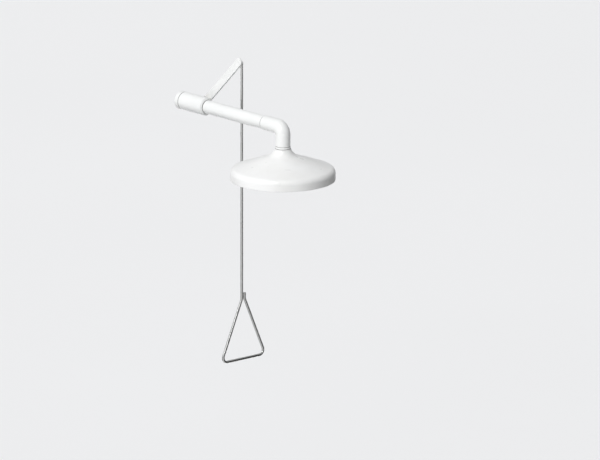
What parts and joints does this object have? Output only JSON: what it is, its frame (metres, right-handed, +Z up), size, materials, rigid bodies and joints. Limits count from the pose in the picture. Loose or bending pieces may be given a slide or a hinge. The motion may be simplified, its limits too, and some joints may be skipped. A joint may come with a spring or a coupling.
{
  "type": "emergency safety shower",
  "caption": "Horizontally fed overhead emergency shower: quarter-turn valve with lever and pull rod, straight pipe, elbow and bell-shaped spray head.",
  "frame": {"origin": "centre of the valve's inlet face, where the supply pipe screws in", "axes": "+Z up; +Y out of the inlet, toward the supply; the pipe and head run toward -Y; the lever and pull rod are on the +X side"},
  "size_m": [0.2566, 0.497, 0.758],
  "materials": {
    "white_enamel": "satin powder coat",
    "white_plastic": "satin moulded",
    "satin_steel": "satin",
    "brass": "machined",
    "white_seal": "PTFE",
    "white_nylon": "moulded nylon",
    "black_rubber": "matt"
  },
  "bodies": {
    "shower": {"inlet_adapter": "white_enamel", "body_o_ring": "black_rubber", "seat_inlet": "white_seal", "seat_outlet": "white_seal", "valve_body": "white_enamel", "stem_packing": "white_seal", "gland_nut": "brass", "stop_pin": "satin_steel", "drench_pipe": "white_enamel", "elbow": "white_enamel", "neck_collar": "white_enamel", "head_nipple": "brass", "shower_head": "white_plastic", "head_gasket": "black_rubber", "head_lock_nut": "white_plastic", "flow_regulator": "white_nylon", "regulator_ring": "black_rubber", "deflector_plate": "white_plastic", "deflector_spacer_1": "white_nylon", "deflector_spacer_2": "white_nylon", "deflector_spacer_3": "white_nylon", "deflector_screw_1": "satin_steel", "deflector_screw_2": "satin_steel", "deflector_screw_3": "satin_steel"},
    "lever": {"ball": "satin_steel", "stem": "satin_steel", "thrust_washer": "white_seal", "stop_washer": "satin_steel", "lever_arm": "white_enamel", "lock_washer": "satin_steel", "lever_nut": "satin_steel", "rod_bush": "white_nylon"},
    "rod": {"pull_rod": "satin_steel"}
  },
  "joints": [
    {"name": "lever_turn", "type": "hinge", "parent": "shower", "child": "lever", "pos_m": [0, -0.0462, 0], "axis": [1, 0, 0], "range_deg": [0, 90]},
    {"name": "rod_upright", "type": "hinge", "parent": "lever", "child": "rod", "pos_m": [0.0501, -0.16457, 0.11837], "axis": [1, 0, 0], "range_deg": [-90, 0]}
  ],
  "couplings": [
    {"joint": "rod_upright", "follows": "lever_turn", "ratio": -1}
  ]
}
